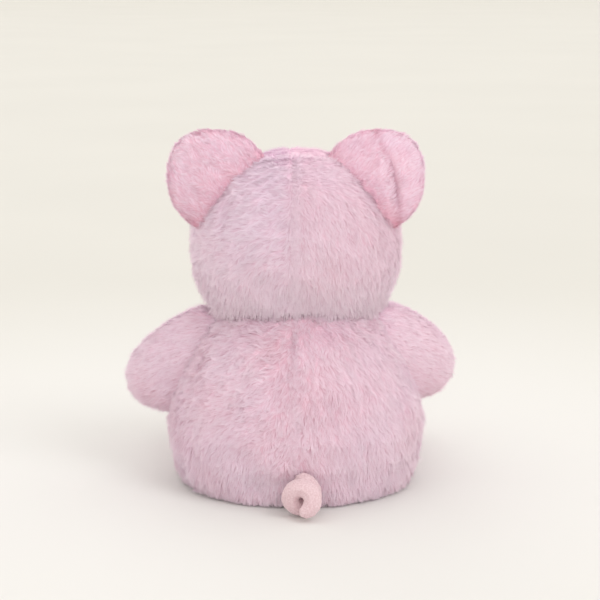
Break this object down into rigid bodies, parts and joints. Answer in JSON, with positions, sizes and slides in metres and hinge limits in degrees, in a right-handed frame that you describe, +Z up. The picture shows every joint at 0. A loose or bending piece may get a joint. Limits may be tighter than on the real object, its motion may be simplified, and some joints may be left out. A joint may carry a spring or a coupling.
{
  "type": "plush pig",
  "caption": "Seated stuffed pig in pale pink pile with a jointed head, arms, legs and ears and a curled velour tail; it rests on a flat base.",
  "frame": {"origin": "on the floor plane under the middle of the torso, at the centre of the flat base", "axes": "+Z up, the pig looks along -Y, its left side is +X"},
  "size_m": [0.2363, 0.2501, 0.2551],
  "materials": {
    "pink_fur": "long soft pile",
    "pale_velour": "short smooth pile",
    "fibre_fill": "loose fibre",
    "pouch_cloth": "plain weave",
    "thread": "twisted",
    "embroidery": "satin stitch",
    "gloss_black": "polished",
    "washer_plastic": "moulded"
  },
  "bodies": {
    "torso": {"body_back_left": "pink_fur", "body_back_right": "pink_fur", "body_belly": "pink_fur", "body_base": "pink_fur", "body_filling": "fibre_fill", "bean_bag": "pouch_cloth"},
    "neck": {"neck_filling": "fibre_fill", "neck_seam": "thread"},
    "head": {"head_back_left": "pink_fur", "head_back_right": "pink_fur", "head_face": "pink_fur", "head_filling": "fibre_fill", "snout_side": "pale_velour", "snout_front": "pale_velour", "snout_filling": "fibre_fill", "left_nostril": "embroidery", "right_nostril": "embroidery", "left_eye": "gloss_black", "right_eye": "gloss_black", "left_eye_washer": "washer_plastic", "right_eye_washer": "washer_plastic"},
    "left_ear": {"left_ear_back": "pink_fur", "left_ear_lining": "pale_velour"},
    "left_arm": {"left_arm_front": "pink_fur", "left_arm_back": "pink_fur", "left_arm_filling": "fibre_fill"},
    "left_leg": {"left_leg_top": "pink_fur", "left_leg_bottom": "pink_fur", "left_leg_sole": "pale_velour", "left_leg_filling": "fibre_fill"},
    "right_ear": {"right_ear_back": "pink_fur", "right_ear_lining": "pale_velour"},
    "right_arm": {"right_arm_front": "pink_fur", "right_arm_back": "pink_fur", "right_arm_filling": "fibre_fill"},
    "right_leg": {"right_leg_top": "pink_fur", "right_leg_bottom": "pink_fur", "right_leg_sole": "pale_velour", "right_leg_filling": "fibre_fill"},
    "tail": {"tail": "pale_velour"}
  },
  "joints": [
    {"name": "head_turn", "type": "hinge", "parent": "torso", "child": "neck", "pos_m": [0, -0.008, 0.1065], "axis": [0, 0, 1], "range_deg": [-20, 20], "stiffness_Nm_per_rad": 0.35},
    {"name": "head_nod", "type": "hinge", "parent": "neck", "child": "head", "pos_m": [0, -0.008, 0.176], "axis": [1, 0, 0], "range_deg": [-12, 12], "stiffness_Nm_per_rad": 0.6},
    {"name": "left_arm_lift", "type": "hinge", "parent": "torso", "child": "left_arm", "pos_m": [0.05, -0.01, 0.124], "axis": [0, -1, 0], "range_deg": [0, 45], "stiffness_Nm_per_rad": 0.08},
    {"name": "right_arm_lift", "type": "hinge", "parent": "torso", "child": "right_arm", "pos_m": [-0.05, -0.01, 0.124], "axis": [0, 1, 0], "range_deg": [0, 45], "stiffness_Nm_per_rad": 0.08},
    {"name": "left_leg_swing", "type": "hinge", "parent": "torso", "child": "left_leg", "pos_m": [0.04262, -0.06707, 0.0531], "axis": [-0.9613, -0.2756, 0], "range_deg": [-12, 40], "stiffness_Nm_per_rad": 0.2},
    {"name": "right_leg_swing", "type": "hinge", "parent": "torso", "child": "right_leg", "pos_m": [-0.04262, -0.06707, 0.0531], "axis": [-0.9613, 0.2756, 0], "range_deg": [-12, 40], "stiffness_Nm_per_rad": 0.2},
    {"name": "left_ear_flop", "type": "hinge", "parent": "head", "child": "left_ear", "pos_m": [0.042, 0.016, 0.2105], "axis": [0.6861, 0.2419, -0.6861], "range_deg": [-20, 20], "stiffness_Nm_per_rad": 0.03},
    {"name": "right_ear_flop", "type": "hinge", "parent": "head", "child": "right_ear", "pos_m": [-0.042, 0.016, 0.2105], "axis": [0.6861, -0.2419, 0.6861], "range_deg": [-20, 20], "stiffness_Nm_per_rad": 0.03},
    {"name": "tail_wag", "type": "hinge", "parent": "torso", "child": "tail", "pos_m": [-0.004, 0.07644, 0.0224], "axis": [0, 0, 1], "range_deg": [-20, 20], "stiffness_Nm_per_rad": 0.02}
  ]
}
